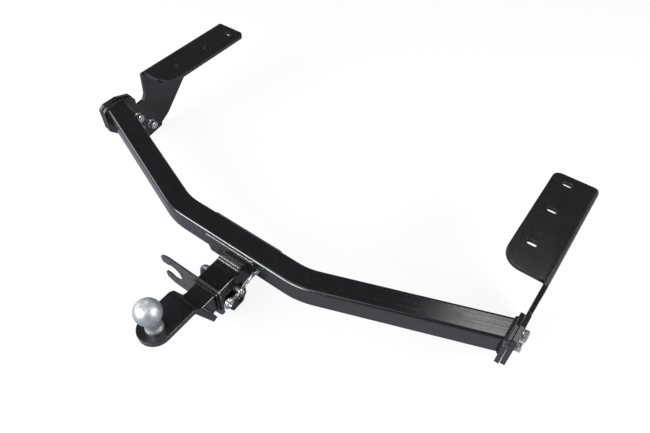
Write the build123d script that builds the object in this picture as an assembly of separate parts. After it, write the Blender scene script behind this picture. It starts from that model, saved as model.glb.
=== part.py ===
"""Trailer hitch: swept crossmember, two chassis arms, receiver, ball mount, pin and clip.

Millimetres. X runs across the vehicle, +Y points forward to the vehicle, +Z is up.
The drawing's zero point is on the centre line, on the rear face and at mid height of the
crossmember; the stored pieces have theirs at the centre of the chassis slots.
"""
import math
import os

from build123d import *

os.makedirs("parts", exist_ok=True)

# Crossmember: square tube, pressed forward at two bends
tube_side = 50.0
tube_wall = 4.0
tube_corner_r = 6.0
bend_half_span = 162.5
sweep_angle = 20.4
tube_bend_r = 150.0
tube_end_x = 512.0
tube_top = tube_side / 2

# Plates and the chassis arms
arm_plate = 9.0
plate_gap = 1.0
end_plate_outer_x = tube_end_x + arm_plate
arm_inner_x = end_plate_outer_x + plate_gap
arm_outer_x = arm_inner_x + arm_plate
arm_bend_r = 4.0
flange_top = 55.0
flange_width = 96.5
flange_rear_y = 260.0
flange_front_y = 540.0
flange_rear_r = 40.0
flange_front_r = 16.0
slot_width = 13.0
slot_length = 22.0
slot_inset = 61.0
slot_x = arm_outer_x - slot_inset
slot_ys = (328.0, 429.0, 515.0)

# Fasteners that join each arm to its end plate
bolt_d = 12.0
bolt_hole_d = 13.0
bolt_head_af = 19.0
bolt_head_h = 7.5
nut_h = 10.5
washer_d = 24.0
washer_t = 2.5
spring_washer_d = 20.5
spring_washer_t = 3.0

# Receiver and what is welded to it
shank_side = 50.0
receiver_play = 0.8
receiver_side = 60.0
receiver_r = 4.5
receiver_mouth_y = -79.0
receiver_front_y = 62.0
receiver_z = -tube_top - receiver_side / 2
gusset_plate = 5.0
rear_gusset_top = 18.5
front_gusset_top = 15.0
weld_leg = 4.0

# Hitch pin and its cross bore
pin_d = 16.0
pin_fit = 0.08
pin_y = -31.0
pin_right_x = 55.0
pin_left_x = -54.0
pin_elbow_r = 15.0
handle_tilt = 12.0
handle_length = 52.0

# Spring clip
wire_d = 4.0
clip_fit = 0.08
clip_x = 42.0
clip_tilt = 18.0
clip_coil_r = 10.5
clip_coil_turns = 1.5
clip_coil_back = 32.0
clip_leg = 46.0

# Socket bracket
bracket_t = 4.0
bracket_rear_y = -74.0
bracket_top = -19.0
bracket_bottom = -110.0
bracket_right_x = 34.5
bracket_tip_x = -127.0
socket_x = -98.0
socket_r = 21.0
socket_screw_circle_r = 34.0
socket_screw_d = 5.5

# Ball mount and ball
ball_d = 50.0
ball_y = -199.0
ball_z = 50.5
neck_r = 14.0
foot_r = 17.0
tongue_width = 66.0
tongue_t = 12.0
tongue_top = -1.0
riser_angle = 66.5
riser_front_c = -116.0
riser_foot_s = 42.5
tongue_bend_r = 12.0
shank_wall = 6.5
shank_inner_y = 36.0
stud_d = 22.0

# Safety chain lugs
lug_t = 6.0
chain_hole_d = 14.0
lug_hole = (-28.0, -98.0)


# Each piece is drawn about the crossmember's rear face and stored about the centre of the
# slot pattern, on top of the flanges, where the hitch meets the vehicle.
slot_mid_y = (slot_ys[0] + slot_ys[-1]) / 2
to_mount = Pos(0, -slot_mid_y, -flange_top)


def save(shape, label, color):
    """Names a piece, gives it its finish and writes its file."""
    shape = to_mount * shape
    shape.label = label
    shape.color = Color(*color)
    export_step(shape, f"parts/{label}.step")
    return shape


def profile_yz(points, x0, x1, radius=0.0):
    """Plate cut to an outline in the YZ plane, from x0 to x1, with softened corners."""
    outline = Polyline(*[(0, y, z) for y, z in points], close=True)
    plate = make_face(outline)
    if radius:
        plate = fillet(plate.vertices(), radius)
    plate = extrude(plate, amount=abs(x1 - x0), dir=(1, 0, 0))
    return Pos(min(x0, x1), 0, 0) * plate


def bar_x(diameter, x0, x1, y, z):
    """Round bar along X, also used to drill cross holes."""
    rod = Cylinder(diameter / 2, x1 - x0, align=(Align.CENTER, Align.CENTER, Align.MIN))
    return Pos(x0, y, z) * Rot(0, 90, 0) * rod


def mirrored(shape):
    """The left-hand piece that matches a right-hand one."""
    return mirror(shape, about=Plane.YZ)


black = (0.03, 0.03, 0.035)
zinc = (0.62, 0.62, 0.6)
bead = (0.05, 0.05, 0.055)

# The crossmember follows its centre line through two press bends. Its ends are sawn
# parallel to the end plates.
slope = math.tan(math.radians(sweep_angle))
mid_bend_x = bend_half_span - tube_side / 2 * math.tan(math.radians(sweep_angle / 2))
overrun_x = tube_end_x + 25.0
overrun_y = tube_side / 2 + (overrun_x - mid_bend_x) * slope
tube_path = FilletPolyline(
    (-overrun_x, overrun_y, 0),
    (-mid_bend_x, tube_side / 2, 0),
    (mid_bend_x, tube_side / 2, 0),
    (overrun_x, overrun_y, 0),
    radius=tube_bend_r,
)
tube_plane = Plane(origin=tube_path @ 0, x_dir=(0, 0, 1), z_dir=tube_path % 0)
tube_outer = RectangleRounded(tube_side, tube_side, tube_corner_r)
tube_bore_side = tube_side - 2 * tube_wall
tube_bore = RectangleRounded(tube_bore_side, tube_bore_side, tube_corner_r - tube_wall)
tube_solid = sweep(tube_plane * tube_outer, path=tube_path)
tube_hollow = sweep(tube_plane * tube_bore, path=tube_path)
between_plates = Pos(0, 100, 0) * Box(2 * tube_end_x, 400, 4 * tube_side)
crossmember = (tube_solid - tube_hollow) & between_plates
save(crossmember, "crossmember_tube", black)

# The end plate and the arm's web are cut alike at the bolted joint: a head over the tube
# end and a tail that drops forward to the bolts. Both are laid out from the centre of the
# tube end, and the web stands a little proud of the end plate along the top.
tube_end_mid_y = tube_side / 2 + (tube_end_x - mid_bend_x) * slope


def at_joint(points):
    """Points given from the centre of the tube end, as places in the YZ plane."""
    return [(tube_end_mid_y + y, z) for y, z in points]


end_plate_rear = at_joint([(-38, -38), (-37, 19), (-25, 27), (11, 27), (47, 15), (54, 6)])
end_plate_front = at_joint([(54, -10), (92, -61), (115, -97), (111, -116)])
joint_under = at_joint([(61, -124), (-19, -57)])
bolt_places = at_joint([(45, -45), (78, -88), (38, -74)])
end_plate_outline = end_plate_rear + end_plate_front + joint_under
drill_over = 5.0
holes = [
    bar_x(bolt_hole_d, tube_end_x - drill_over, arm_outer_x + drill_over, y, z)
    for y, z in bolt_places
]
end_plate = profile_yz(end_plate_outline, tube_end_x, end_plate_outer_x, 5.0)
for hole in holes:
    end_plate -= hole
end_plate = fillet(end_plate.faces().sort_by(Axis.X)[0].outer_wire().edges(), 0.8)
save(end_plate, "end_plate_right", black)
save(mirrored(end_plate), "end_plate_left", black)

# Side arm: one plate folded along its top edge into the flange that bolts up under the
# chassis rail. The web narrows downward and has a relief notch behind the flange.
flange_inner_x = arm_outer_x - flange_width
flange_under = flange_top - arm_plate
fold_outer_r = arm_bend_r + arm_plate
fold = Polyline(
    (flange_inner_x, 0, flange_under),
    (arm_inner_x, 0, flange_under),
    (arm_inner_x, 0, -130),
    (arm_outer_x, 0, -130),
    (arm_outer_x, 0, flange_top),
    (flange_inner_x, 0, flange_top),
    close=True,
)
fold_face = make_face(fold)
fold_corners = fold_face.vertices().filter_by_position(Axis.X, arm_inner_x - 1, arm_outer_x + 1)
fold_corners = fold_corners.filter_by_position(Axis.Z, 0, 100).sort_by(Axis.X)
fold_face = fillet(fold_corners[0], arm_bend_r)
fold_corners = fold_face.vertices().filter_by_position(Axis.X, arm_outer_x - 0.1, arm_outer_x + 0.1)
fold_face = fillet(fold_corners.sort_by(Axis.Z)[-1], fold_outer_r)
rear_limit = 100.0
folded = extrude(fold_face, amount=flange_front_y - rear_limit, dir=(0, 1, 0))
folded = Pos(0, rear_limit, 0) * folded

web_rear = at_joint([(-37, -34), (-37, 22), (-24, 30), (12, 30), (48, 18), (54, 8)])
notch_floor = at_joint([(54, -10), (63, -24), (84, -21), (93, -8)])
web_front = [(flange_front_y, 14)] + at_joint([(330, 0), (240, -18), (220, -33)])
web_front += at_joint([(148, -100), (117, -118)])
web_outline = web_rear + notch_floor + [(flange_rear_y, 90), (flange_front_y, 90)]
web_outline += web_front + joint_under
web_limit = make_face(Polyline(*[(0, y, z) for y, z in web_outline], close=True))
inside_corners = [v for v in web_limit.vertices() if v.Z < 70]
web_limit = fillet(inside_corners, 5.0)
web_limit = Pos(flange_inner_x - 5, 0, 0) * extrude(
    web_limit, amount=flange_width + 10, dir=(1, 0, 0)
)
side_arm = folded & web_limit

flange_mid_y = (flange_rear_y + flange_front_y) / 2
flange_length = flange_front_y - flange_rear_y
flange_limit = Pos(arm_outer_x - flange_width / 2, flange_mid_y) * Rectangle(
    flange_width, flange_length
)
inner_corners = flange_limit.vertices().sort_by(Axis.X)[:2].sort_by(Axis.Y)
flange_limit = fillet(inner_corners[0], flange_rear_r)
front_inner = flange_limit.vertices().sort_by(Axis.Y)[-2:].sort_by(Axis.X)[0]
flange_limit = fillet(front_inner, flange_front_r)
front_outer = flange_limit.vertices().sort_by(Axis.Y)[-2:].sort_by(Axis.X)[-1]
flange_limit = fillet(front_outer, 7.0)
flange_limit = extrude(flange_limit, amount=300, both=True)
web_room = Pos(arm_inner_x, 0, 0) * Box(
    40, 2000, 1000, align=(Align.MIN, Align.CENTER, Align.CENTER)
)
web_room &= Pos(0, flange_rear_y, 0) * Box(
    2000, 400, 1000, align=(Align.CENTER, Align.MAX, Align.CENTER)
)
side_arm &= flange_limit + web_room
for y in slot_ys:
    slot = extrude(SlotOverall(slot_length, slot_width), amount=3 * arm_plate, both=True)
    side_arm -= Pos(slot_x, y, flange_top) * slot
for hole in holes:
    side_arm -= hole
save(side_arm, "side_arm_right", black)
save(mirrored(side_arm), "side_arm_left", black)


def hexagon(af, height):
    """Hexagon bar with the bevelled corners that a nut or a bolt head has."""
    prism = extrude(RegularPolygon(af / 2, 6, major_radius=False), amount=height)
    face_r = 0.47 * af
    bevel = math.tan(math.radians(60))
    blank = Cone(face_r + bevel * height, face_r, height)
    return prism & (Pos(0, 0, height / 2) * blank)


def ring(outer_d, inner_d, height):
    """Plain washer standing on the XY plane."""
    blank = Cylinder(outer_d / 2, height, align=(Align.CENTER, Align.CENTER, Align.MIN))
    bore = Cylinder(inner_d / 2, 3 * height)
    return blank - bore


def split_ring(outer_d, inner_d, height):
    """Spring washer: a ring of square wire with one slanting cut."""
    cut = Pos(outer_d / 2, 0, height / 2) * Rot(30, 0, 0) * Box(outer_d / 2, 1.2, 4 * height)
    return ring(outer_d, inner_d, height) - cut


# Each arm is held by three bolts. A bolt comes in from outside, has a spring washer and a
# flat washer under its head and again under its nut, and a thin flat washer between the
# plates keeps their coated faces apart.
bolts = []
flat_washers = []
spring_washers = []
nuts = []
grip_inner = tube_end_x
nut_seat = grip_inner - washer_t - spring_washer_t
head_seat = arm_outer_x + washer_t + spring_washer_t
bolt_tip = nut_seat - nut_h - 4.0
for turn, (y, z) in enumerate(bolt_places):
    outward = Pos(0, y, z) * Rot(0, 90, 0)
    twist = Rot(0, 0, 17 * turn)
    head = Pos(0, 0, head_seat) * twist * hexagon(bolt_head_af, bolt_head_h)
    shaft_length = head_seat - bolt_tip
    shaft = Cylinder(bolt_d / 2, shaft_length, align=(Align.CENTER, Align.CENTER, Align.MIN))
    shaft = chamfer(shaft.edges().sort_by(Axis.Z)[0], 1.0)
    bolts.append(outward * (head + Pos(0, 0, bolt_tip) * shaft))
    flat = ring(washer_d, bolt_hole_d, washer_t)
    for seat in (arm_outer_x, grip_inner - washer_t):
        flat_washers.append(outward * Pos(0, 0, seat) * flat)
    thin_washer = ring(washer_d, bolt_hole_d, plate_gap)
    flat_washers.append(outward * Pos(0, 0, end_plate_outer_x) * thin_washer)
    spring = Rot(0, 0, 70 * turn) * split_ring(spring_washer_d, bolt_d + 0.4, spring_washer_t)
    for seat in (nut_seat, head_seat - spring_washer_t):
        spring_washers.append(outward * Pos(0, 0, seat) * spring)
    nut = hexagon(bolt_head_af, nut_h) - Cylinder(bolt_d / 2 + 0.1, 4 * nut_h)
    nuts.append(outward * Pos(0, 0, nut_seat) * Rot(180, 0, 11 * turn) * nut)
for group, name in (
    (bolts, "arm_bolts"),
    (flat_washers, "arm_flat_washers"),
    (spring_washers, "arm_spring_washers"),
    (nuts, "arm_nuts"),
):
    save(Compound(children=group), f"{name}_right", zinc)
    save(Compound(children=[mirrored(piece) for piece in group]), f"{name}_left", zinc)

# Receiver: a heavier square tube welded up under the crossmember, bored across for the pin.
receiver_length = receiver_front_y - receiver_mouth_y
receiver_bore = shank_side + 2 * receiver_play
bore_corner_r = 1.5


def square_tube(side, corner, y0, y1):
    """Square bar along Y at the receiver's height."""
    section = RectangleRounded(side, side, corner)
    start = Plane(origin=(0, y0, receiver_z), x_dir=(1, 0, 0), z_dir=(0, 1, 0))
    return extrude(start * section, amount=y1 - y0)


pin_bore_d = pin_d + 2 * pin_fit
pin_bore = bar_x(pin_bore_d, -receiver_side, receiver_side, pin_y, receiver_z)
receiver = square_tube(receiver_side, receiver_r, receiver_mouth_y, receiver_front_y)
receiver -= square_tube(receiver_bore, bore_corner_r, receiver_mouth_y - 9, receiver_front_y + 9)
mouth_edges = receiver.faces().sort_by(Axis.Y)[0].inner_wires()[0].edges()
receiver = chamfer(mouth_edges, 1.2)
receiver -= pin_bore
save(receiver, "receiver_tube", black)

# Two gusset plates stand on the receiver and lie on the tube's rear and front faces.
receiver_top = receiver_z + receiver_side / 2
flat_run = receiver_side - 2 * receiver_r


def gusset(top_half, foot_half, top, y0):
    """Tapered plate between the crossmember's face and the receiver's top."""
    outline = Polyline(
        (-foot_half, 0, receiver_top),
        (foot_half, 0, receiver_top),
        (top_half, 0, top),
        (-top_half, 0, top),
        close=True,
    )
    plate = fillet(make_face(outline).vertices(), 3.0)
    return Pos(0, y0, 0) * extrude(plate, amount=gusset_plate, dir=(0, 1, 0))


rear_half = 63.0
front_half = 86.5
rear_gusset = gusset(rear_half, 53.0, rear_gusset_top, -gusset_plate)
save(rear_gusset, "gusset_plate_rear", black)
front_gusset = gusset(front_half, 70.0, front_gusset_top, tube_side)
save(front_gusset, "gusset_plate_front", black)


def weld(length, corner, turn):
    """Fillet bead along X in the corner between two faces; turn places its right angle."""
    leg = weld_leg
    start = (leg, 0)
    end = (0, leg)
    bulge = (0.62 * leg, 0.62 * leg)
    bead_line = Polyline(end, (0, 0), start)
    crown = ThreePointArc(start, bulge, end)
    section = make_face(bead_line + crown)
    bar = extrude(section, amount=length / 2, both=True)
    return Pos(*corner) * Rot(0, 90, 0) * Rot(0, 0, turn) * bar


# The rear plate's top bead lies in the pocket that the tube's rounded corner leaves.
pocket = 1.5
rear_top_bead = weld(2 * rear_half - 10, (0, pocket, rear_gusset_top), 180) - tube_solid
rear_foot_bead = weld(flat_run, (0, -gusset_plate, receiver_top), 180)
front_top_bead = weld(2 * front_half - 10, (0, tube_side, front_gusset_top), 90)
front_foot_bead = weld(flat_run, (0, tube_side + gusset_plate, receiver_top), 90)
rear_beads = [rear_top_bead, rear_foot_bead]
front_beads = [front_top_bead, front_foot_bead]
save(Compound(children=rear_beads), "gusset_welds_rear", bead)
save(Compound(children=front_beads), "gusset_welds_front", bead)

# Bead round the tube where it meets the end plate
bead_reach = 5.0
slanted_side = tube_side / math.cos(math.radians(sweep_angle))
plate_plane = Plane(origin=(tube_end_x, tube_end_mid_y, 0), x_dir=(0, 1, 0), z_dir=(-1, 0, 0))
near_plane = Plane(
    origin=(tube_end_x - bead_reach, tube_end_mid_y - bead_reach * slope, 0),
    x_dir=(0, 1, 0),
    z_dir=(-1, 0, 0),
)
wide = RectangleRounded(slanted_side + 2 * bead_reach, tube_side + 2 * bead_reach, 9.0)
narrow = RectangleRounded(slanted_side + 0.8, tube_side + 0.8, tube_corner_r + 0.4)
end_bead = loft([plate_plane * wide, near_plane * narrow])
end_bead = end_bead - tube_solid
save(end_bead, "tube_end_weld_right", bead)
save(mirrored(end_bead), "tube_end_weld_left", bead)

# Socket bracket: plate round the receiver's mouth that reaches out to the left and ends
# in a C for the trailer's wiring socket, with four screw holes round the C.
socket_z = (bracket_top + bracket_bottom) / 2
bracket_height = bracket_top - bracket_bottom
sheet = Plane(origin=(0, bracket_rear_y, 0), x_dir=(1, 0, 0), z_dir=(0, -1, 0))
body_left_x = socket_x
body = Pos((body_left_x + bracket_right_x) / 2, socket_z) * Rectangle(
    bracket_right_x - body_left_x, bracket_height
)
right_corners = body.vertices().sort_by(Axis.X)[-2:].sort_by(Axis.Y)
body = fillet(right_corners[0], 22.0)
top_right = body.vertices().sort_by(Axis.Y)[-2:].sort_by(Axis.X)[-1]
body = fillet(top_right, 9.0)
horn_round = Pos(socket_x, socket_z) * Circle(bracket_height / 2)
horn_room = Pos((bracket_tip_x + body_left_x) / 2, socket_z) * Rectangle(
    body_left_x - bracket_tip_x, bracket_height
)
bracket_face = body + (horn_round & horn_room)
mouth_gap = 0.78 * socket_r
mouth = Pos(bracket_tip_x, socket_z) * Rectangle(2 * (socket_x - bracket_tip_x), 2 * mouth_gap)
bracket_face -= Pos(socket_x, socket_z) * Circle(socket_r)
bracket_face -= mouth
tips = [v for v in bracket_face.vertices() if v.X < bracket_tip_x + 1]
bracket_face = fillet(tips, 5.0)
for angle in (90, 35, -35, -90):
    at = math.radians(angle)
    x = socket_x + socket_screw_circle_r * math.cos(at)
    z = socket_z + socket_screw_circle_r * math.sin(at)
    bracket_face -= Pos(x, z) * Circle(socket_screw_d / 2)
bracket_face -= Pos(-37, -38) * Circle(3.0)
window_side = receiver_side + 0.2
bracket_face -= Pos(0, receiver_z) * RectangleRounded(window_side, window_side, receiver_r)
bracket = extrude(sheet * bracket_face, amount=-bracket_t)
save(bracket, "socket_bracket", black)

# Beads between the bracket's hidden side and the receiver
bracket_front_y = bracket_rear_y + bracket_t
side_bead = weld(flat_run, (0, 0, 0), 90)
side_bead = Pos(receiver_side / 2, bracket_front_y, receiver_z) * Rot(0, 90, 0) * side_bead
bracket_beads = [side_bead, mirrored(side_bead)]
save(Compound(children=bracket_beads), "socket_bracket_welds", bead)

# Safety chain lugs hang from the receiver's sides, one each side.
lug_outline = [(-9, -66), (-9, -94), (-21, -113), (-50, -113), (-57, -98), (-57, -66)]
lug = profile_yz(lug_outline, receiver_side / 2, receiver_side / 2 + lug_t, 4.0)
lug -= bar_x(chain_hole_d, 0, receiver_side, *lug_hole)
save(lug, "chain_lug_right", black)
save(mirrored(lug), "chain_lug_left", black)

# Ball mount shank: square tube that slides into the receiver. Its outer end is mitred to
# the sloping riser of the tongue.
lean = math.radians(riser_angle)
riser_normal = (0, math.sin(lean), math.cos(lean))
riser_down = (0, math.cos(lean), -math.sin(lean))
riser_point = Vector(0, riser_front_c * riser_normal[1], riser_front_c * riser_normal[2])
shank = square_tube(shank_side, 3.0, -150, shank_inner_y)
shank -= square_tube(shank_side - 2 * shank_wall, 1.0, -160, shank_inner_y + 9)
riser_plane = Plane(origin=riser_point, x_dir=(1, 0, 0), z_dir=riser_normal)
shank = split(shank, bisect_by=riser_plane, keep=Keep.TOP)
shank -= pin_bore
save(shank, "ball_mount_shank", black)

# Tongue: flat bar bent down behind the shank, with a round end under the ball.
mid_c = riser_front_c - tongue_t / 2
mid_z = tongue_top - tongue_t / 2
corner_y = (mid_c - mid_z * riser_normal[2]) / riser_normal[1]
foot_at = riser_foot_s
foot_y = mid_c * riser_normal[1] + foot_at * riser_down[1]
foot_z = mid_c * riser_normal[2] + foot_at * riser_down[2]
tongue_end_y = ball_y - tongue_width / 2
bar_path = FilletPolyline(
    (0, tongue_end_y, mid_z),
    (0, corner_y, mid_z),
    (0, foot_y, foot_z),
    radius=tongue_bend_r,
)
bar_plane = Plane(origin=bar_path @ 0, x_dir=(1, 0, 0), z_dir=bar_path % 0)
tongue = sweep(bar_plane * Rectangle(tongue_width, tongue_t), path=bar_path)
end_round = Pos(0, ball_y, 0) * Cylinder(tongue_width / 2, 400)
end_round += Pos(0, ball_y, 0) * Box(
    2 * tongue_width, 400, 400, align=(Align.CENTER, Align.MIN, Align.CENTER)
)
tongue &= end_round
tongue -= Pos(0, ball_y, mid_z) * Cylinder(stud_d / 2 + 0.3, 3 * tongue_t)
tongue_faces = tongue.faces().filter_by(Axis.Z).sort_by(Axis.Z)
rim = tongue_faces[-1].outer_wire().edges()
tongue = fillet(rim.filter_by(GeomType.CIRCLE), 1.0)
save(tongue, "ball_mount_tongue", black)

# Fillet beads down both sides of the shank where it meets the riser
riser_run = 42.0
mount_bead = weld(riser_run, (0, 0, 0), 90)
mount_bead = Rot(0, 90, 0) * mount_bead
mount_bead = Rot(90 - riser_angle, 0, 0) * mount_bead
bead_at = riser_point + Vector(*riser_down) * (-receiver_z * math.sin(lean))
bead_shift = (receiver_z - bead_at.Z) / riser_down[2]
bead_at = bead_at + Vector(*riser_down) * bead_shift
mount_bead = Pos(shank_side / 2, bead_at.Y, bead_at.Z) * mount_bead
mount_beads = [mount_bead, mirrored(mount_bead)]
save(Compound(children=mount_beads), "ball_mount_welds", bead)

# Tow ball: turned in one piece with its neck, foot and threaded stud.
ball_r = ball_d / 2
flat_r = 8.0
flat_z = ball_z + math.sqrt(ball_r**2 - flat_r**2)
neck_top = ball_z - math.sqrt(ball_r**2 - neck_r**2)
foot_h = 4.0
foot_top = tongue_top + foot_h
under_tongue = tongue_top - tongue_t
ball_washer_t = 5.0
ball_nut_h = 18.0
stud_tip = under_tongue - ball_washer_t - ball_nut_h - 4.0
equator = (ball_r, ball_z)
ball_line = Polyline((neck_r, neck_top), (neck_r, foot_top + 7), (foot_r, foot_top))
stud_line = Polyline(
    (foot_r, foot_top),
    (foot_r, tongue_top),
    (stud_d / 2, tongue_top),
    (stud_d / 2, stud_tip + 1.5),
    (stud_d / 2 - 1.5, stud_tip),
    (0, stud_tip),
    (0, flat_z),
    (flat_r, flat_z),
)
ball_arc = ThreePointArc((flat_r, flat_z), equator, (neck_r, neck_top))
ball_section = make_face(ball_line + stud_line + ball_arc)
neck_root = ball_section.vertices().filter_by_position(Axis.Y, foot_top + 6.9, foot_top + 7.1)
ball_section = fillet(neck_root, 8.0)
ball = revolve(Plane.XZ * ball_section, axis=Axis.Z)
save(Pos(0, ball_y, 0) * ball, "tow_ball", zinc)
ball_spring = split_ring(37.0, stud_d + 0.6, ball_washer_t)
save(Pos(0, ball_y, under_tongue - ball_washer_t) * ball_spring, "ball_spring_washer", zinc)
ball_nut = hexagon(32.0, ball_nut_h) - Cylinder(stud_d / 2 + 0.1, 4 * ball_nut_h)
ball_nut = Pos(0, ball_y, under_tongue - ball_washer_t) * Rot(180, 0, 8) * ball_nut
save(ball_nut, "ball_nut", zinc)

# Hitch pin: round bar through receiver and shank, its left end bent down into a handle
# and its right end cross-drilled for the clip.
tilt = math.radians(handle_tilt)
handle_end = (
    pin_left_x - handle_length * math.sin(tilt),
    pin_y,
    receiver_z - handle_length * math.cos(tilt),
)
pin_path = FilletPolyline(
    (pin_right_x, pin_y, receiver_z),
    (pin_left_x, pin_y, receiver_z),
    handle_end,
    radius=pin_elbow_r,
)
pin_plane = Plane(origin=pin_path @ 0, z_dir=pin_path % 0)
pin = sweep(pin_plane * Circle(pin_d / 2), path=pin_path)
pin_ends = pin.faces().filter_by(GeomType.PLANE)
pin = chamfer(pin_ends.edges(), 1.5)
cross_hole = Cylinder((wire_d + 2 * clip_fit) / 2, 3 * pin_d)
clip_frame = Pos(clip_x, pin_y, receiver_z) * Rot(clip_tilt, 0, 0) * Rot(-90, 0, 0)
pin -= clip_frame * cross_hole
save(pin, "hitch_pin", zinc)

# Spring clip of one wire: a straight leg through the pin, a coil of one and a half turns,
# and a waved leg that springs over the pin. It is drawn in its own plane: the straight leg
# runs along +Y and the waved leg lies above it.
coil_pitch = wire_d + 0.5
coil_rise = clip_coil_turns * coil_pitch
hug = pin_d / 2 + wire_d / 2 + 0.3
leg_blend = 14.0
coil = Helix(coil_pitch, coil_rise, clip_coil_r, direction=(0, 0, 1), lefthand=True)
coil = Pos(0, -clip_coil_back, clip_coil_r) * Rot(0, 90, 0) * coil
straight_leg = Line((0, clip_leg, 0), (0, leg_blend - clip_coil_back, 0))
leg_root = Spline(straight_leg @ 1, coil @ 0, tangents=(straight_leg % 1, coil % 0))
over_pin = Plane.YZ * CenterArc((0, 0), hug, 132, -74)
over_pin = Pos(coil_rise, 0, 0) * over_pin
waved_root = Spline(coil @ 1, over_pin @ 0, tangents=(coil % 1, over_pin % 0))
tip_flare = (0, 1, 0.9)
waved_tip = Spline(
    over_pin @ 1,
    (coil_rise, 0.5 * clip_leg, 0.42 * hug),
    (coil_rise, 0.88 * clip_leg, 1.15 * hug),
    tangents=(over_pin % 1, tip_flare),
)
wire_runs = (straight_leg, leg_root, coil, waved_root, over_pin, waved_tip)
wire = Wire([edge for run in wire_runs for edge in run.edges()])
wire_plane = Plane(origin=straight_leg @ 0, z_dir=straight_leg % 0)
clip = sweep(wire_plane * Circle(wire_d / 2), path=wire)
clip = Pos(clip_x, pin_y, receiver_z) * Rot(clip_tilt, 0, 0) * clip
save(clip, "r_clip", zinc)
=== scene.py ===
"""A trailer hitch: black crossmember with two slotted arms, a receiver with its ball mount,
a bracket for the wiring socket, and the pin and spring clip that hold the ball mount."""

import math

import bpy
from mathutils import Matrix, Vector


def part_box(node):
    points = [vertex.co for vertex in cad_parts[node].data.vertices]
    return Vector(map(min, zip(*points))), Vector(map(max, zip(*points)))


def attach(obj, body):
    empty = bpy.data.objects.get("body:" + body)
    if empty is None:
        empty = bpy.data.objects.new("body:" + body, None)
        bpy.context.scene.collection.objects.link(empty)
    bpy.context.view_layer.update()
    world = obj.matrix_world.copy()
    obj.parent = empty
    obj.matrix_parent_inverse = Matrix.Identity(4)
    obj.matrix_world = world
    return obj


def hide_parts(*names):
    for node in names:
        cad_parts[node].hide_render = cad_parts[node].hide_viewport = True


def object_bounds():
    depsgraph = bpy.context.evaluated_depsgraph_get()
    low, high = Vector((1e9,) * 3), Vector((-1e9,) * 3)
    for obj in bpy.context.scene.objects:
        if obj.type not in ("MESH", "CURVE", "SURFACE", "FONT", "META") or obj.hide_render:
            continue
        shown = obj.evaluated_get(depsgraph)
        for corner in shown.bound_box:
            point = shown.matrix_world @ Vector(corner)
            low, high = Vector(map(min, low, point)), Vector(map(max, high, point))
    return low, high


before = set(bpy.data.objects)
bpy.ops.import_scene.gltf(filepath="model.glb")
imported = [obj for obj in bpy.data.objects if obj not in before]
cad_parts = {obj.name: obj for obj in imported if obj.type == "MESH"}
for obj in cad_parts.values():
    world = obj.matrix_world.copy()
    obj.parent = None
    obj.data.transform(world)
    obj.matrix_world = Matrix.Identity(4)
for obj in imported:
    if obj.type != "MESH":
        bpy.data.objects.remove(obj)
cad_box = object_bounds()

# The studio. A white sweep of card under and behind the hitch, lit by large soft boxes, as
# catalogue pictures are. The camera stands to the right of the ball and looks down on it.
scene = bpy.context.scene
scene.view_settings.view_transform = "Standard"
PHOTO_PIXELS, FOCAL_PIXELS = 650, 548.07
SENSOR_MM = 36.0
NEAREST_SEEN = 0.02
CAMERA_AT = Vector((0.515427, -0.834221, 0.813321))
AZIMUTH, ELEVATION, ROLL = (math.radians(a) for a in (35.2249, 49.8183, 1.003))
towards_lens = Vector((
    math.sin(AZIMUTH) * math.cos(ELEVATION),
    -math.cos(AZIMUTH) * math.cos(ELEVATION),
    math.sin(ELEVATION),
))
level_right = Vector((0, 0, 1)).cross(towards_lens).normalized()
level_up = towards_lens.cross(level_right)
right = math.cos(ROLL) * level_right + math.sin(ROLL) * level_up
up = math.cos(ROLL) * level_up - math.sin(ROLL) * level_right
camera_data = bpy.data.cameras.new("camera")
camera_data.sensor_width = SENSOR_MM
camera_data.lens = FOCAL_PIXELS * SENSOR_MM / PHOTO_PIXELS
camera_data.clip_start = NEAREST_SEEN
camera = bpy.data.objects.new("camera", camera_data)
turned = Matrix((right, up, towards_lens)).transposed().to_4x4()
camera.matrix_world = Matrix.Translation(CAMERA_AT) @ turned
scene.collection.objects.link(camera)
scene.camera = camera


def soft_box(name, at, aim, size, watts, colour=(1, 1, 1)):
    """A rectangular soft box hung at a point and turned to face another."""
    lamp = bpy.data.lights.new(name, "AREA")
    lamp.shape = "RECTANGLE"
    lamp.size, lamp.size_y = size
    lamp.energy = watts
    lamp.color = colour
    holder = bpy.data.objects.new(name, lamp)
    holder.location = at
    holder.rotation_euler = (Vector(aim) - Vector(at)).to_track_quat("-Z", "Y").to_euler()
    scene.collection.objects.link(holder)


# The edge box is wide, stands low behind the camera and draws the white line on the
# crossmember's rear edge. The far box hangs over the right end, the right box lights the
# receiver's right edge, and the top box and the low left box fill the ball.
soft_box("edge_box", at=(-0.95, -2.5, 1.35), aim=(0, -0.4, 0), size=(2.4, 1.3), watts=112,
         colour=(0.94, 0.97, 1.0))
soft_box("far_box", at=(0.64, 0.86, 1.9), aim=(0.38, -0.25, 0), size=(0.96, 0.34), watts=3.3)
soft_box("right_box", at=(2.15, 0.25, 1.05), aim=(0.1, -0.45, -0.05), size=(1.0, 0.7), watts=48)
soft_box("top_box", at=(-0.25, -1.15, 2.15), aim=(-0.25, -0.9, 0), size=(1.5, 2.0), watts=9)
soft_box("left_box", at=(-2.1, -0.9, 0.75), aim=(0, -0.5, -0.03), size=(1.0, 0.9), watts=10,
         colour=(0.95, 0.97, 1.0))


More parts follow.
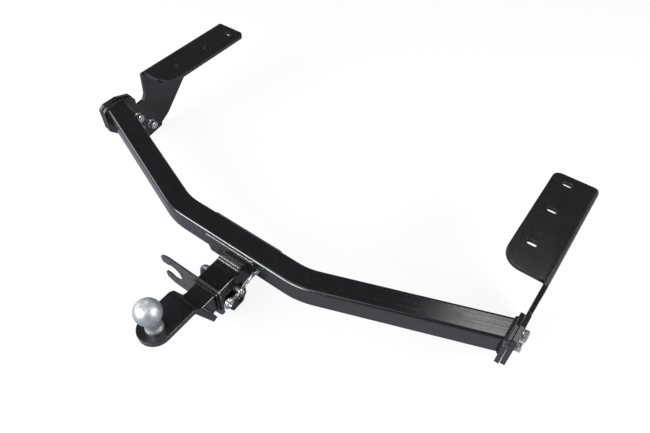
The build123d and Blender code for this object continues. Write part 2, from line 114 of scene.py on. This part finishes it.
# The card. A white sheet under the hitch that reaches far past the picture. It is lit from
# behind as well as from above, so its own light nearly drowns the shadow for the lens and
# through glass. Reflections see it darker, with little light of its own, so the shadow stays.
class Sock:
    """A node socket that takes part in plain arithmetic."""

    def __init__(self, tree, socket):
        self.tree = tree
        self.socket = socket

    def beside(self, name):
        """Another output of the same node."""
        return Sock(self.tree, self.socket.node.outputs[name])

    def maths(self, operation, *values, clamp=False):
        """Adds one Math node and gives its result."""
        node = self.tree.nodes.new("ShaderNodeMath")
        node.operation = operation
        node.use_clamp = clamp
        for socket, value in zip(node.inputs, values):
            feed(socket, value)
        return Sock(self.tree, node.outputs[0])

    def __add__(self, other):
        return self.maths("ADD", self, other)

    def __sub__(self, other):
        return self.maths("SUBTRACT", self, other)

    def __rsub__(self, other):
        return self.maths("SUBTRACT", other, self)

    def __mul__(self, other):
        return self.maths("MULTIPLY", self, other)

    __radd__ = __add__
    __rmul__ = __mul__

    def above(self, low, high):
        """0 below low, 1 above high and a straight rise between them."""
        return self.maths("MULTIPLY", self - low, 1 / (high - low), clamp=True)

    def unsigned(self):
        """The value without its sign, the same on both sides of the centre line."""
        return self.maths("ABSOLUTE", self)

    def most(self, other):
        """The larger of two values."""
        return self.maths("MAXIMUM", self, other)


def feed(socket, value):
    """Links a value to a socket, or stores a plain number or colour there."""
    if isinstance(value, Sock):
        value.tree.links.new(value.socket, socket)
    elif socket.type == "RGBA":
        socket.default_value = (*value, 1)
    else:
        socket.default_value = value


class Tree:
    """A node tree under construction."""

    def __init__(self, tree):
        self.tree = tree

    def node(self, kind, settings=None, output=0, **values):
        """Adds a node: settings first, then the value or link of each socket."""
        made = self.tree.nodes.new(kind)
        for key, value in (settings or {}).items():
            setattr(made, key, value)
        for key, value in values.items():
            # A number after a name picks one of several sockets of that name.
            name, _, place = key.replace("_", " ").partition(" at ")
            same = [s for s in made.inputs if s.name == name and s.enabled]
            feed(same[int(place or 0)], value)
        return Sock(self.tree, made.outputs[output]) if made.outputs else None


class Finish(Tree):
    """A material under construction, with the patterns that finishes are made of."""

    def __init__(self, name):
        self.material = bpy.data.materials.new(name)
        self.material.use_nodes = True
        super().__init__(self.material.node_tree)
        self.shader = self.tree.nodes["Principled BSDF"]

    def coordinates(self, scale=(1, 1, 1), centre=(0, 0, 0)):
        """Place on the piece in metres, centred and scaled for a pattern."""
        place = self.node("ShaderNodeTexCoord", output="Object")
        if scale == (1, 1, 1) and centre == (0, 0, 0):
            return place
        return self.node("ShaderNodeMapping", {"vector_type": "TEXTURE"}, Vector=place,
                         Location=centre, Scale=[1 / s for s in scale])

    def parts(self, place):
        """The three numbers of a place: x, y and z."""
        split = self.node("ShaderNodeSeparateXYZ", Vector=place)
        return [split.beside(axis) for axis in "XYZ"]

    def noise(self, place, scale, detail=3.0, roughness=0.55, distortion=0.0):
        """Cloudy noise whose cells are about 1/scale metres wide."""
        return self.node("ShaderNodeTexNoise", Vector=place, Scale=scale, Detail=detail,
                         Roughness=roughness, Distortion=distortion)

    def blend(self, amount, first, second):
        """Mixes two colours; amount may vary over the surface."""
        return self.node("ShaderNodeMix", {"data_type": "RGBA"}, output=2, Factor=amount,
                         A=first, B=second)

    def rounded(self, radius):
        """The normal rounded over every edge, and a mask that is 1 on edges, 0 on flats."""
        soft = self.node("ShaderNodeBevel", {"samples": 6}, Radius=radius)
        plain = self.node("ShaderNodeNewGeometry", output="Normal")
        alike = self.node("ShaderNodeVectorMath", {"operation": "DOT_PRODUCT"}, output="Value",
                          Vector=soft, Vector_at_1=plain)
        return soft, (1 - alike).above(0.02, 0.2)

    def bump(self, height, depth, base):
        """Relief over a base normal, from a height of 0 to 1 and a depth in metres."""
        return self.node("ShaderNodeBump", Height=height, Distance=depth, Normal=base)

    def wear(self, **values):
        """Puts the finished values on the shader's own sockets."""
        for key, value in values.items():
            feed(self.shader.inputs[key.replace("_", " ")], value)
        return self.material


CARD_REACH, CARD_GAP = 24.0, 0.001
CARD_TONE, CARD_TONE_MIRRORED = (0.94, 0.94, 0.94), (0.225, 0.235, 0.265)
OWN_LIGHT, OWN_LIGHT_MIRRORED = 0.88, 0.06
card_low = cad_box[0][2] - CARD_GAP
card_corners = [(x * CARD_REACH, y * CARD_REACH, card_low)
                for x, y in ((-1, -1), (1, -1), (1, 1), (-1, 1))]
card_mesh = bpy.data.meshes.new("card")
card_mesh.from_pydata(card_corners, [], [(0, 1, 2, 3)])
card = bpy.data.objects.new("card", card_mesh)
scene.collection.objects.link(card)
card_white = Finish("card_white")
seen = card_white.node("ShaderNodeLightPath", output="Is Camera Ray")
mirrored = seen.beside("Is Glossy Ray")
card_tone = card_white.blend(mirrored, CARD_TONE, CARD_TONE_MIRRORED)
card_mesh.materials.append(card_white.wear(Base_Color=card_tone, Roughness=0.95))
own_light = (seen * OWN_LIGHT).most(mirrored * OWN_LIGHT_MIRRORED)
own_light = own_light.most(seen.beside("Is Transmission Ray") * OWN_LIGHT)
paper = Sock(card_white.tree, card_white.shader.outputs[0])
glow = card_white.node("ShaderNodeEmission", Strength=1.0)
both = card_white.node("ShaderNodeMixShader", Fac=own_light, Shader=paper, Shader_at_1=glow)
feed(card_white.tree.nodes["Material Output"].inputs["Surface"], both)

# The room. White walls stand behind the card, and the ceiling above them is dim, which is
# why the upward faces of the hitch look nearly black.
WALL_TOP, WALL_LIGHT = 0.16, 0.38
CEILING_FROM, CEILING_LIGHT = 0.36, 0.06
FILL_LIGHT = 0.22
sky = bpy.data.worlds.new("studio_room")
scene.world = sky
sky.use_nodes = True
room = Tree(sky.node_tree)
room.tree.nodes.clear()
direction = room.node("ShaderNodeTexCoord", output="Generated")
upward = room.node("ShaderNodeSeparateXYZ", output="Z", Vector=direction)
wall_to_ceiling = room.node("ShaderNodeMapRange", {"interpolation_type": "SMOOTHSTEP"},
                            Value=upward, From_Min=WALL_TOP, From_Max=CEILING_FROM,
                            To_Min=WALL_LIGHT, To_Max=CEILING_LIGHT)
white_wall = room.node("ShaderNodeBackground", Color=(1, 1, 1))
mirrored_wall = room.node("ShaderNodeBackground", Color=(1, 1, 1), Strength=wall_to_ceiling)
fill = room.node("ShaderNodeBackground", Color=(1, 1, 1), Strength=FILL_LIGHT)
seen = room.node("ShaderNodeLightPath", output="Is Camera Ray")
mirrored = seen.beside("Is Glossy Ray").most(seen.beside("Is Transmission Ray"))
unseen_room = room.node("ShaderNodeMixShader", Fac=mirrored, Shader=fill,
                        Shader_at_1=mirrored_wall)
whole_room = room.node("ShaderNodeMixShader", Fac=seen, Shader=unseen_room,
                       Shader_at_1=white_wall)
room.node("ShaderNodeOutputWorld", Surface=whole_room)

# Crossmember. Square steel tube, bent cold at two places, blasted and powder coated black.
# The coat is half glossy with the ripple that baked powder leaves, and the fine lines that
# the tube was drawn with still show through it and turn with it at the bends.
BEND_AT, SWEEP = 0.1565, math.radians(20.4)
LINES_ALONG, LINES_ACROSS = 4, 240
# The edge tone is painted lighter: partly powder gone thin on edges, partly a painted
# highlight.
DUST, RUBBED, THIN_AND_HIGHLIT_EDGE = (0.10, 0.10, 0.10), (0.06, 0.06, 0.062), (0.10, 0.10, 0.105)
POWDER_IOR = 1.52


def dress(name, material):
    """Gives a piece from the workshop its finish."""
    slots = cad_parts[name].data.materials
    slots.clear()
    slots.append(material)


def powder_coat(name, tone, sheen, ripple=0.00006, dust=0.5, grain=None, depth=0.6,
                streaks=0.08, edge=0.0007, gloss=1.0, lacquer=0.0):
    """Baked black powder: orange peel, faint clouds in the gloss, dust, rubs, and lighter
    edges, partly thin powder and partly a painted highlight.
    """
    coat = Finish(name)
    place = coat.coordinates()
    peel = coat.noise(place, 330.0, detail=2.0)
    clouds = coat.noise(place, 9.0, detail=4.0)
    specks = coat.noise(place, 1400.0, detail=1.0)
    rubs = coat.noise(coat.coordinates(scale=(1, 7, 7)), 26.0, detail=5.0, roughness=0.7)
    rubbed = rubs.above(0.60, 0.72)
    dusty = specks.above(0.62, 0.74) * clouds.above(0.40, 0.60) * dust
    smears = coat.noise(place, 45.0, detail=6.0, roughness=0.75).above(0.52, 0.78)
    soft, edges = coat.rounded(edge)
    # Edges are painted lighter in patches: partly thin powder, partly a painted highlight on
    # the edge.
    thin_and_highlit_edges = edges * rubs.above(0.50, 0.68)
    colour = coat.blend(clouds, [c * 0.75 for c in tone], [c * 1.25 for c in tone])
    colour = coat.blend(dusty * 0.3, colour, DUST)
    colour = coat.blend(rubbed * 0.12 + smears * 0.08, colour, RUBBED)
    colour = coat.blend(thin_and_highlit_edges * 0.2, colour, THIN_AND_HIGHLIT_EDGE)
    rough = sheen + (clouds - 0.5) * 0.08 + rubbed * 0.08 + smears * 0.06 + dusty * 0.15
    height = peel + specks * 0.15
    if grain is not None:
        lines = grain(coat)
        rough = rough + (lines - 0.5) * streaks
        height = height + lines * depth
    relief = coat.bump(height, ripple, soft)
    return coat.wear(Base_Color=colour, Roughness=rough, Normal=relief, IOR=POWDER_IOR,
                     Specular_IOR_Level=gloss, Coat_Weight=lacquer)


def drawn_lines(coat):
    """Fine lines along the tube, turned with it past each bend."""
    along, across, high = coat.parts(coat.coordinates())
    past_bend = (along.unsigned() - BEND_AT).most(0)
    across = (across - past_bend * math.tan(SWEEP)) * math.cos(SWEEP)
    line = coat.node("ShaderNodeCombineXYZ", X=along * LINES_ALONG, Y=across * LINES_ACROSS,
                     Z=high * LINES_ACROSS)
    return coat.noise(line, 1.0, detail=4.0, roughness=0.6)


tube_coat = powder_coat("crossmember_black", (0.006, 0.006, 0.0075), 0.17, grain=drawn_lines,
                        depth=2.4, streaks=0.22)
dress("crossmember_tube", tube_coat)


# End plates. Nine millimetre plate, cut to shape by plasma, welded over the tube's ends
# and coated with it. The torch left close ripples across the cut edges.
def torch_ripples(coat):
    """Close lines that run through the plate's thickness."""
    return coat.noise(coat.coordinates(scale=(60, 620, 620)), 1.0, detail=2.0)


plate_coat = powder_coat("end_plate_black", (0.007, 0.007, 0.008), 0.26, ripple=0.00008,
                         grain=torch_ripples, depth=0.25, edge=0.0011)
for side in ("left", "right"):
    dress(f"end_plate_{side}", plate_coat)


# Side arms. The same plate, folded along the top into a flange with three slots that bolts
# up under the chassis rail. The mill's rolling marks run along them under the coat.
def rolling_marks(coat):
    """Long faint marks that run forward along the arm."""
    return coat.noise(coat.coordinates(scale=(60, 3, 60)), 3.0, detail=4.0, roughness=0.65)


arm_coat = powder_coat("side_arm_black", (0.007, 0.007, 0.008), 0.22, ripple=0.00007,
                       dust=0.3, grain=rolling_marks, edge=0.0011)
for side in ("left", "right"):
    dress(f"side_arm_{side}", arm_coat)

# Fasteners. Zinc plated twelve millimetre bolts, nuts, flat and spring washers. The plating
# is pale and slightly blue, brighter where the spanner has rubbed its edges.
PIT_GREY = (0.10, 0.10, 0.10)
BRIGHTEST = 0.85


def zinc_plate(name, tone, sheen, lines=None, stain=0.5, patch=55.0, depth=0.00005,
               edge=0.0005):
    """Bright zinc: drawn or turned lines, dull patches, small dark pits, bright edges."""
    zinc = Finish(name)
    place = zinc.coordinates()
    patches = zinc.noise(place, patch, detail=5.0, roughness=0.62)
    pits = zinc.noise(place, 900.0, detail=2.0).above(0.66, 0.76)
    crystals = zinc.noise(place, 420.0, detail=3.0) if lines is None else lines(zinc)
    dull = patches.above(0.45, 0.75) * stain
    soft, edges = zinc.rounded(edge)
    colour = zinc.blend(dull, tone, [c * 0.55 for c in tone])
    colour = zinc.blend(pits * 0.6, colour, PIT_GREY)
    colour = zinc.blend(edges * 0.6, colour, [min(BRIGHTEST, c * 1.4) for c in tone])
    rough = sheen + (crystals - 0.5) * 0.18 + dull * 0.2 + pits * 0.2
    relief = zinc.bump(crystals - pits * 0.6, depth, soft)
    return zinc.wear(Base_Color=colour, Roughness=rough, Metallic=1.0, Normal=relief)


def stamped_marks(zinc):
    """Shallow marks in every direction, as stamping leaves them on a washer."""
    return zinc.noise(zinc.coordinates(), 700.0, detail=2.0, distortion=1.5)


fastener_zinc = zinc_plate("fastener_zinc", (0.78, 0.79, 0.81), 0.22)
washer_zinc = zinc_plate("washer_zinc", (0.74, 0.75, 0.76), 0.28, lines=stamped_marks)
spring_zinc = zinc_plate("spring_washer_zinc", (0.48, 0.48, 0.49), 0.36, stain=0.8)
for side in ("left", "right"):
    dress(f"arm_bolts_{side}", fastener_zinc)
    dress(f"arm_nuts_{side}", fastener_zinc)
    dress(f"arm_flat_washers_{side}", washer_zinc)
    dress(f"arm_spring_washers_{side}", spring_zinc)

# Bolt threads. Four millimetres of each bolt stand out of its nut on the inner side of the
# joint. A rolled ridge winds round each, a turn for every step of the pitch.
RIDGE_TO_PITCH = 0.42
BOLT_RADIUS, BOLT_PITCH, BOLT_TURNS = 0.006, 0.00175, 1.6
RIDGE_SUNK, RIDGE_OFF_NUT = 0.0004, 0.0005
BOLT_CENTRES = ((-0.2199, -0.1000), (-0.1869, -0.1430), (-0.2269, -0.1290))


class Pattern(Tree):
    """A Geometry Nodes tree under construction, with its sizes as named inputs."""

    def __init__(self, name, **sizes):
        super().__init__(bpy.data.node_groups.new(name, "GeometryNodeTree"))
        face = self.tree.interface
        face.new_socket("Start", in_out="INPUT", socket_type="NodeSocketGeometry")
        for size, kind in sizes.items():
            face.new_socket(size, in_out="INPUT", socket_type="NodeSocket" + kind)
        face.new_socket("Result", in_out="OUTPUT", socket_type="NodeSocketGeometry")
        self.start = self.node("NodeGroupInput")

    def given(self, size):
        """One of the tree's named sizes."""
        return self.start.beside(size)

    def finish(self, shape):
        """Ends the tree: real geometry, smooth faces and the piece's own finish."""
        shape = self.node("GeometryNodeRealizeInstances", Geometry=shape)
        shape = self.node("GeometryNodeSetShadeSmooth", Geometry=shape)
        shape = self.node("GeometryNodeSetMaterial", Geometry=shape,
                          Material=self.given("Finish"))
        self.node("NodeGroupOutput", Result=shape)

    def make(self, name, points, runs=(), **sizes):
        """Runs the tree on points and runs between them, and gives a plain mesh piece."""
        start = bpy.data.meshes.new(name + "_start")
        start.from_pydata([tuple(p) for p in points], list(runs), [])
        rough = bpy.data.objects.new(name + "_start", start)
        scene.collection.objects.link(rough)
        run = rough.modifiers.new("pattern", "NODES")
        run.node_group = self.tree
        for item in self.tree.interface.items_tree:
            if item.in_out == "INPUT" and item.name in sizes:
                run[item.identifier] = sizes[item.name]
        settled = bpy.context.evaluated_depsgraph_get()
        mesh = bpy.data.meshes.new_from_object(rough.evaluated_get(settled))
        rough.modifiers.remove(run)
        bpy.data.objects.remove(rough)
        mesh.name = name
        piece = bpy.data.objects.new(name, mesh)
        scene.collection.objects.link(piece)
        return piece


thread = Pattern("rolled_thread", Radius="Float", Pitch="Float", Turns="Float",
                 Heading="Rotation", Finish="Material")
winding = thread.node("GeometryNodeCurveSpiral", Resolution=28,
                      Height=thread.given("Pitch") * thread.given("Turns"),
                      Rotations=thread.given("Turns"), Start_Radius=thread.given("Radius"),
                      End_Radius=thread.given("Radius"))
ridge = thread.node("GeometryNodeCurvePrimitiveCircle", Resolution=4,
                    Radius=thread.given("Pitch") * RIDGE_TO_PITCH)
ridge = thread.node("GeometryNodeCurveToMesh", Curve=winding, Profile_Curve=ridge,
                    Fill_Caps=True)
tips = thread.node("GeometryNodeMeshToPoints", Mesh=thread.start)
thread.finish(thread.node("GeometryNodeInstanceOnPoints", Points=tips, Instance=ridge,
                          Rotation=thread.given("Heading")))
for side, inward in (("left", 1), ("right", -1)):
    nut_low, nut_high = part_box(f"arm_nuts_{side}")
    nut_face = nut_high.x if inward > 0 else nut_low.x
    first_turn = nut_face + inward * RIDGE_OFF_NUT
    piece = thread.make(
        f"arm_bolt_threads_{side}", [(first_turn, y, z) for y, z in BOLT_CENTRES],
        Radius=BOLT_RADIUS - RIDGE_SUNK, Pitch=BOLT_PITCH, Turns=BOLT_TURNS,
        Heading=(0, inward * math.pi / 2, 0), Finish=fastener_zinc,
    )
    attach(piece, "hitch")

# Receiver and gussets. A heavier square tube under the crossmember, held by a plate behind
# and a plate in front, all welded and coated.
receiver_coat = powder_coat("receiver_black", (0.005, 0.005, 0.006), 0.17, edge=0.0012,
                            gloss=0.7)
gusset_coat = powder_coat("gusset_black", (0.006, 0.006, 0.0075), 0.18)
dress("receiver_tube", receiver_coat)
dress("gusset_plate_rear", gusset_coat)
dress("gusset_plate_front", gusset_coat)

# Weld beads. Each is a row of small puddles, one laid on the next with a wire torch, so it
# is rippled across and a little uneven, and is coated over with the frame. The rear gusset's
# foot has two passes, side by side.
BEAD_RADIUS, BEAD_STEP, BEAD_SEED = 0.0045, 0.0021, 11
END_BEAD_RADIUS, END_BEAD_STEP, END_BEAD_SEED = 0.0044, 0.0026, 21
PUDDLE_FLAT, PUDDLE_LEAN = 0.62, 0.16
# How far the rear gusset's seams lie off its edge, and its second pass off the first.
REAR_TOP_OUT, REAR_TOP_UP = 0.0011, 0.0012
SECOND_PASS_UP, SECOND_PASS_OUT = 0.0016, 0.0058
# How far each seam stops short of the piece or of the weld node that it runs along.
TOP_ENDS_IN, FOOT_ENDS_IN, BRACKET_ENDS_IN = 0.0005, 0.0045, 0.002
MOUNT_TOP_IN_Y, MOUNT_TOP_IN_Z = 0.001, 0.0026
MOUNT_FOOT_IN_Y, MOUNT_FOOT_IN_Z = 0.0045, 0.002
END_BEAD_IN, END_CORNER, END_CORNER_STEPS = 0.0048, 0.006, 6
weld_coat = powder_coat("weld_black", (0.010, 0.010, 0.012), 0.16, ripple=0.00005,
                        edge=0.0004, lacquer=1.0)
end_weld_coat = powder_coat("end_weld_black", (0.005, 0.005, 0.006), 0.34, edge=0.0004,
                            gloss=0.3)
bead = Pattern("weld_bead", Bead="Float", Step="Float", Seed="Int", Finish="Material")
seam = bead.node("GeometryNodeMeshToCurve", Mesh=bead.start)
stops = bead.node("GeometryNodeCurveToPoints", {"mode": "LENGTH"}, Curve=seam,
                  Length=bead.given("Step"))
puddle = bead.node("GeometryNodeMeshUVSphere", Segments=9, Rings=6,
                   Radius=bead.given("Bead"))
puddle = bead.node("GeometryNodeTransform", Geometry=puddle, Scale=(1, 1, PUDDLE_FLAT))
size = bead.node("FunctionNodeRandomValue", {"data_type": "FLOAT"}, output=1, Min=0.88,
                 Max=1.05, Seed=bead.given("Seed"))
lean = bead.node("FunctionNodeRandomValue", {"data_type": "FLOAT_VECTOR"},
                 Min=(-PUDDLE_LEAN, -PUDDLE_LEAN, 0.0), Max=(PUDDLE_LEAN, PUDDLE_LEAN, 6.0),
                 Seed=bead.given("Seed"))
lean = bead.node("FunctionNodeEulerToRotation", Euler=lean)
turn = bead.node("FunctionNodeRotateRotation", {"rotation_space": "LOCAL"},
                 Rotation=stops.beside("Rotation"), Rotate_By=lean)
bead.finish(bead.node("GeometryNodeInstanceOnPoints", Points=stops, Instance=puddle,
                      Rotation=turn, Scale=size))


def level_run(half, y, z):
    """A level seam across the hitch, as far to the left as to the right."""
    return (-half, y, z), (half, y, z)


def ring_round(box, at_x, inset, corner):
    """Points of a rounded rectangle, set in from a box's sides, in the plane x = at_x."""
    low, high = box
    middle_y, middle_z = (low.y + high.y) / 2, (low.z + high.z) / 2
    half_y = (high.y - low.y) / 2 - inset - corner
    half_z = (high.z - low.z) / 2 - inset - corner
    points = []
    for quarter, (to_y, to_z) in enumerate(((1, 1), (-1, 1), (-1, -1), (1, -1))):
        for step in range(END_CORNER_STEPS + 1):
            angle = (quarter + step / END_CORNER_STEPS) * math.pi / 2
            points.append((at_x, middle_y + to_y * half_y + corner * math.cos(angle),
                           middle_z + to_z * half_z + corner * math.sin(angle)))
    return points


def lay_bead(node, points, runs, radius, step, seed, coat):
    """Lays the rippled bead that takes the place of a weld node."""
    piece = bead.make("rippled_" + node, points, runs, Bead=radius, Step=step, Seed=seed,
                      Finish=coat)
    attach(piece, "hitch")
    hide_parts(node)


rear_low, rear_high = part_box("gusset_plate_rear")
front_low, front_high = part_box("gusset_plate_front")
rear_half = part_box("gusset_welds_rear")[1].x - TOP_ENDS_IN
front_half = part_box("gusset_welds_front")[1].x - TOP_ENDS_IN
receiver_low, receiver_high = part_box("receiver_tube")
bracket_low, bracket_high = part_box("socket_bracket_welds")
mount_low, mount_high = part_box("ball_mount_welds")
shank_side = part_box("ball_mount_shank")[1].x
foot_half = receiver_high.x - FOOT_ENDS_IN
seams = {
    "gusset_welds_rear": [
        level_run(rear_half, rear_high.y - REAR_TOP_OUT, rear_high.z + REAR_TOP_UP),
        level_run(foot_half, rear_low.y, receiver_high.z + SECOND_PASS_UP),
        level_run(foot_half, rear_low.y - SECOND_PASS_OUT, receiver_high.z),
    ],
    "gusset_welds_front": [
        level_run(front_half, front_low.y, front_high.z),
        level_run(foot_half, front_high.y, receiver_high.z),
    ],
    "socket_bracket_welds": [
        ((x, bracket_low.y, bracket_low.z + BRACKET_ENDS_IN),
         (x, bracket_low.y, bracket_high.z - BRACKET_ENDS_IN))
        for x in (receiver_low.x, receiver_high.x)
    ],
    "ball_mount_welds": [
        ((x, mount_low.y + MOUNT_TOP_IN_Y, mount_high.z - MOUNT_TOP_IN_Z),
         (x, mount_high.y - MOUNT_FOOT_IN_Y, mount_low.z + MOUNT_FOOT_IN_Z))
        for x in (-shank_side, shank_side)
    ],
}
for number, (node, runs) in enumerate(seams.items()):
    points = [point for run in runs for point in run]
    pairs = [(2 * i, 2 * i + 1) for i in range(len(runs))]
    lay_bead(node, points, pairs, BEAD_RADIUS, BEAD_STEP, BEAD_SEED + number, weld_coat)
for number, side in enumerate(("left", "right")):
    node = f"tube_end_weld_{side}"
    low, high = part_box(node)
    plate_x = low.x if side == "left" else high.x
    points = ring_round((low, high), plate_x, END_BEAD_IN, END_CORNER)
    pairs = [(i, (i + 1) % len(points)) for i in range(len(points))]
    lay_bead(node, points, pairs, END_BEAD_RADIUS, END_BEAD_STEP, END_BEAD_SEED + number,
             end_weld_coat)

# Socket bracket. Four millimetre sheet round the receiver's mouth, with a C for the trailer
# wiring socket. Its face catches the light and looks grey, and that light is painted into a
# grey tone on the same black coat.
# The lighter grey tone is painted light, standing for the sheen its face catches.
painted_light_bracket_coat = powder_coat("bracket_grey", (0.022, 0.022, 0.025), 0.34, dust=1.0, edge=0.0006)
dress("socket_bracket", painted_light_bracket_coat)

# Chain lugs. Six millimetre plates, each with a hole for a safety chain, welded to the
# receiver's sides and coated with it.
lug_coat = powder_coat("chain_lug_black", (0.008, 0.008, 0.009), 0.26, edge=0.0008)
for side in ("left", "right"):
    dress(f"chain_lug_{side}", lug_coat)


# Ball mount. Square shank, mitred and welded to a bent flat bar that carries the ball. It
# slides in and out of the receiver, so long faint rubs run along the shank.
def sliding_rubs(coat):
    """Long scratches along the shank."""
    return coat.noise(coat.coordinates(scale=(140, 4, 140)), 3.0, detail=5.0, roughness=0.7)


shank_coat = powder_coat("shank_black", (0.007, 0.007, 0.008), 0.22, grain=sliding_rubs,
                         edge=0.0012, gloss=0.7)
tongue_coat = powder_coat("tongue_black", (0.006, 0.006, 0.007), 0.24, ripple=0.00009,
                          edge=0.0012, gloss=0.7, dust=0.2)
dress("ball_mount_shank", shank_coat)
dress("ball_mount_tongue", tongue_coat)

# Tow ball. Turned from a steel bar with its neck, foot and stud, plated and worn bright by
# couplings. A spring washer and a nut hold it under the tongue, and the stud's thread
# shows below the nut.
BALL_AT = (0.0, -0.6205, -0.0058)
RINGS = 1300
CROWN_FROM, CROWN_FULL, CROWN_ROUGH = 0.0125, 0.0185, 1.5
STUD_RIDGE, STUD_PITCH, STUD_TURNS, STUD_OFF_NUT = 0.0106, 0.0025, 1.1, 0.0006


def turned_rings(zinc):
    """Rings round the upright axis that the lathe left, and a rougher crown."""
    round_it = zinc.coordinates(scale=(5, 5, RINGS), centre=BALL_AT)
    rings = zinc.noise(round_it, 1.0, detail=4.0, roughness=0.6)
    crown = zinc.parts(zinc.coordinates())[2].above(CROWN_FROM, CROWN_FULL)
    return rings + crown * CROWN_ROUGH


ball_plate = zinc_plate("ball_plate", (0.62, 0.635, 0.65), 0.45, lines=turned_rings,
                        stain=1.2, patch=170.0, depth=0.00003, edge=0.0010)
dress("tow_ball", ball_plate)
dress("ball_spring_washer", spring_zinc)
dress("ball_nut", fastener_zinc)
first_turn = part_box("ball_nut")[0].z - STUD_OFF_NUT
piece = thread.make("ball_stud_thread", [(BALL_AT[0], BALL_AT[1], first_turn)],
                    Radius=STUD_RIDGE, Pitch=STUD_PITCH, Turns=STUD_TURNS,
                    Heading=(math.pi, 0, 0), Finish=fastener_zinc)
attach(piece, "hitch")


# Hitch pin. Sixteen millimetre drawn bar, bent to a short handle, bored near its end for
# the clip. The zinc on it has gone dull and mottled, and the drawing lines run along it.
def lines_along(zinc):
    """Drawing lines along the pin's length."""
    return zinc.noise(zinc.coordinates(scale=(8, 500, 500)), 1.0, detail=4.0, roughness=0.6)


pin_zinc = zinc_plate("pin_zinc", (0.34, 0.34, 0.35), 0.36, lines=lines_along, stain=0.7,
                      edge=0.0008)
dress("hitch_pin", pin_zinc)

# Spring clip. Four millimetre spring wire, wound into one coil and a humped arm that snaps
# over the pin. It is the brightest piece here.
clip_zinc = zinc_plate("clip_zinc", (0.84, 0.86, 0.88), 0.24, stain=0.25, depth=0.00002)
dress("r_clip", clip_zinc)
